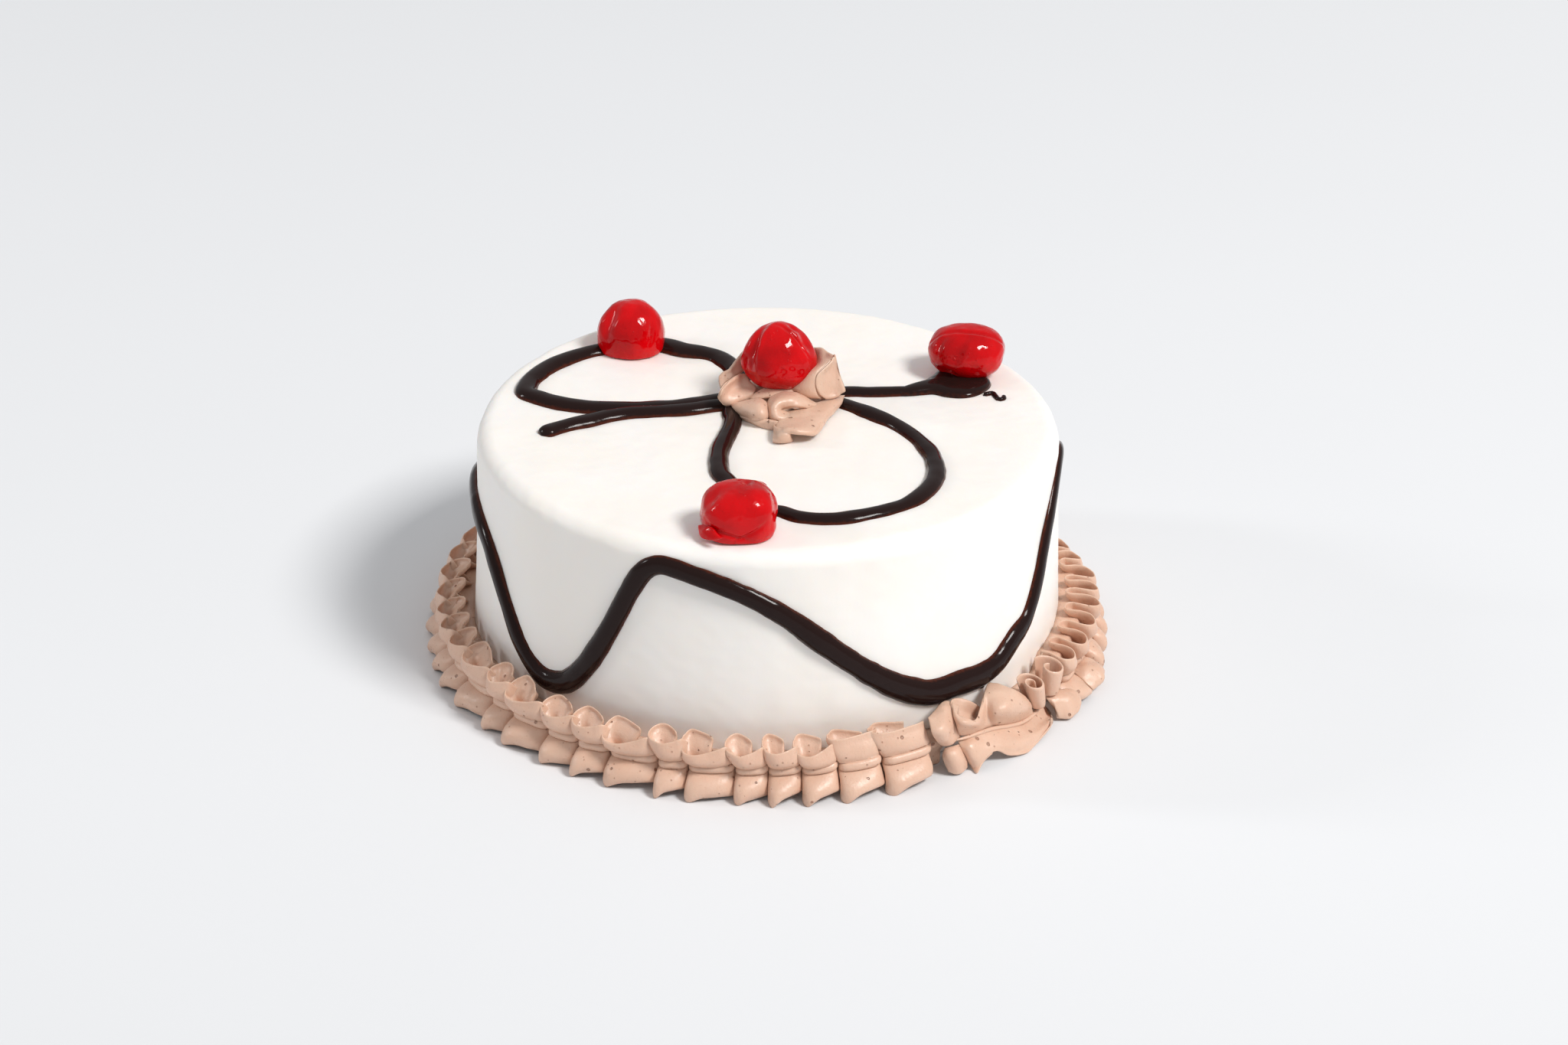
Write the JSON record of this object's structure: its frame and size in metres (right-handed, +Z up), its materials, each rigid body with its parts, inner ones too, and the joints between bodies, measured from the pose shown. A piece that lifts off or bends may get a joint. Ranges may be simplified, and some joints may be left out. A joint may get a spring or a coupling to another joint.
{
  "type": "decorated cake",
  "caption": "Uncut round black forest cake with white frosting, chocolate lines, a piped rosette, glazed cherries and a folded cream ruffle round its foot.",
  "frame": {"origin": "centre of the flat underside of the cake, where it rests", "axes": "+Z up; -Y is the front, where the cherry nearest the edge lies; +X is to the right seen from the front"},
  "size_m": [0.2097, 0.2099, 0.0973],
  "materials": {
    "frosting": "smooth whipped white frosting, satin",
    "cream": "piped mocha cream, satin with small air pits",
    "cherry": "wet glazed cherry, glossy and slightly translucent"
  },
  "bodies": {
    "root": {"cake": "frosting", "ruffle_border": "cream", "rosette": "cream", "cherry_centre": "cherry", "cherry_back_left": "cherry", "cherry_right": "cherry", "cherry_front": "cherry"}
  },
  "joints": []
}
